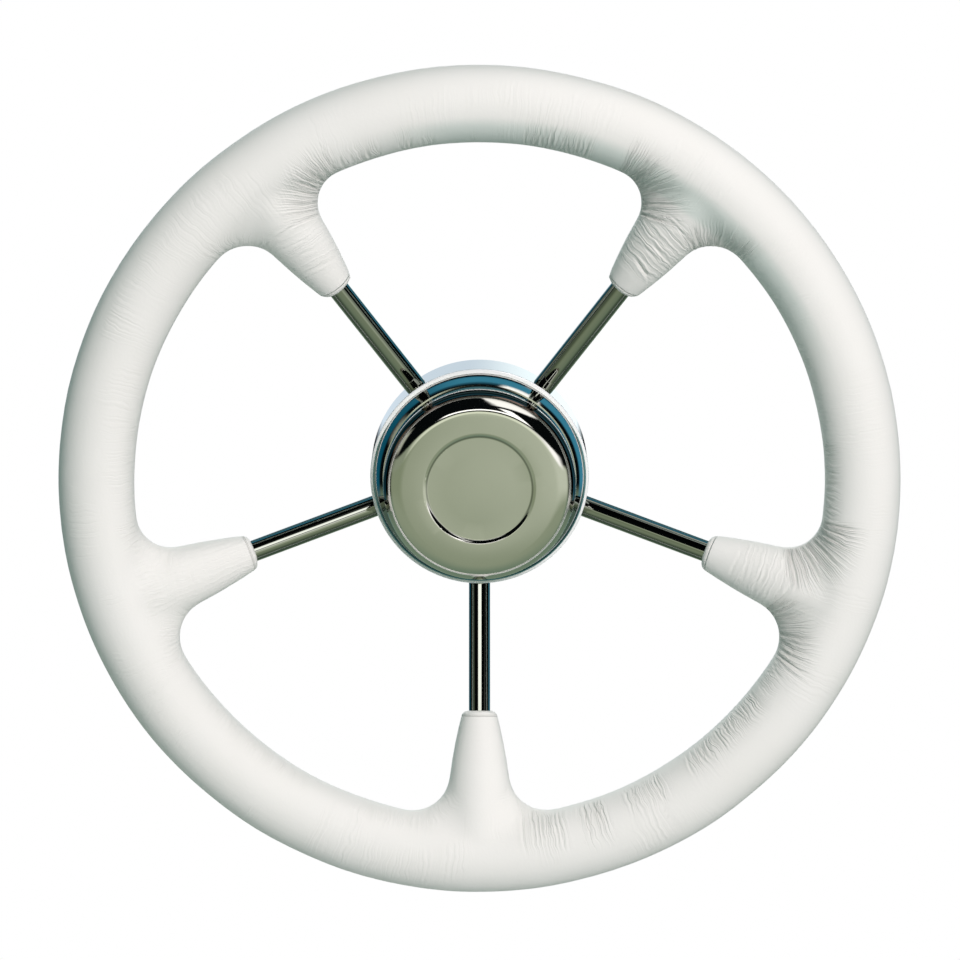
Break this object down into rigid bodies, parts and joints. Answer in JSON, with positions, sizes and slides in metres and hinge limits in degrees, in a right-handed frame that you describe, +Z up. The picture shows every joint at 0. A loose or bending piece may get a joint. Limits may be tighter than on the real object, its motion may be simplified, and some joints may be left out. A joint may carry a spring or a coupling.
{
  "type": "boat steering wheel",
  "caption": "Dished boat steering wheel with a soft white moulded grip, round polished spokes and a deep polished hub with a pressed-on cap.",
  "frame": {"origin": "middle of the tapered bore's wide mouth, in the rear face of the hub's boss", "axes": "+Y along the wheel's axis, towards the helm's shaft; the front faces -Y; +Z up, with one spoke straight down"},
  "size_m": [0.35, 0.0655, 0.35],
  "materials": {
    "soft_grip": "soft moulded polyurethane with a fine leather grain",
    "polished_steel": "mirror-polished stainless steel",
    "turned_steel": "turned stainless steel",
    "seal_rubber": "smooth black rubber"
  },
  "bodies": {
    "root": {"rim_grip": "soft_grip", "rim_hoop": "turned_steel", "spoke_1": "polished_steel", "spoke_2": "polished_steel", "spoke_3": "polished_steel", "spoke_4": "polished_steel", "spoke_5": "polished_steel", "hub_boss": "turned_steel", "hub_drum": "polished_steel", "front_ring": "polished_steel", "cap_seal": "seal_rubber", "hub_cap": "polished_steel"}
  },
  "joints": []
}
